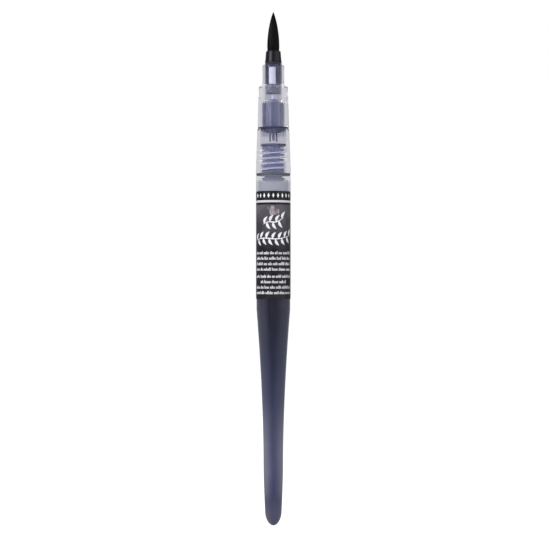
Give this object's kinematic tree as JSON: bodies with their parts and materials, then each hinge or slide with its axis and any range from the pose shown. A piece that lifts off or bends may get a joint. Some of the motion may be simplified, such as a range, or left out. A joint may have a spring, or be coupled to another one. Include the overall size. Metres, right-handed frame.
{
  "type": "brush pen",
  "caption": "Refillable squeeze-barrel brush pen with a screw-on clear front section and a soft pointed tuft, shown uncapped.",
  "frame": {"origin": "lowest point of the rounded rear end, on the pen's axis", "axes": "+Z along the pen's axis from the rear end to the bristles, -Y towards the side that carries the front of the label"},
  "size_m": [0.013, 0.013, 0.19],
  "materials": {
    "translucent_polyethylene": "translucent violet-grey squeeze bottle, satin",
    "label_film": "printed film, satin",
    "ink": "wet ink",
    "natural_plastic": "ink-stained translucent moulding",
    "porous_plastic": "sintered, inky",
    "seal_rubber": "soft, matte",
    "clear_plastic": "clear styrene, glossy",
    "black_plastic": "fine satin",
    "filament": "fine nylon fibres, inked black"
  },
  "bodies": {
    "barrel_body": {"barrel": "translucent_polyethylene", "label": "label_film", "ink": "ink", "neck_plug": "natural_plastic", "flow_filter": "porous_plastic", "gasket": "seal_rubber"},
    "seal_body": {"neck_seal": "seal_rubber"},
    "front_section": {"grip": "clear_plastic", "nose": "clear_plastic", "feed_holder": "natural_plastic", "feed": "natural_plastic", "flow_sponge": "porous_plastic", "channel_ink": "ink", "collar": "black_plastic", "tuft_root": "black_plastic", "tuft_base": "filament"},
    "tuft": {"bristles": "filament"}
  },
  "joints": [
    {"name": "front_lift", "type": "slide", "parent": "barrel_body", "child": "seal_body", "axis": [0, 0, 1], "range_m": [0, 0.00617]},
    {"name": "front_turn", "type": "hinge", "parent": "seal_body", "child": "front_section", "pos_m": [0, 0, 0.1403], "axis": [0, 0, 1], "range_deg": [0, 1170.1]},
    {"name": "tuft_flex", "type": "hinge", "parent": "front_section", "child": "tuft", "pos_m": [0, 0, 0.1752], "axis": [1, 0, 0], "range_deg": [-25, 25], "stiffness_Nm_per_rad": 0.002}
  ],
  "couplings": [
    {"joint": "front_turn", "follows": "front_lift", "rad_per_m": 3306.9}
  ]
}
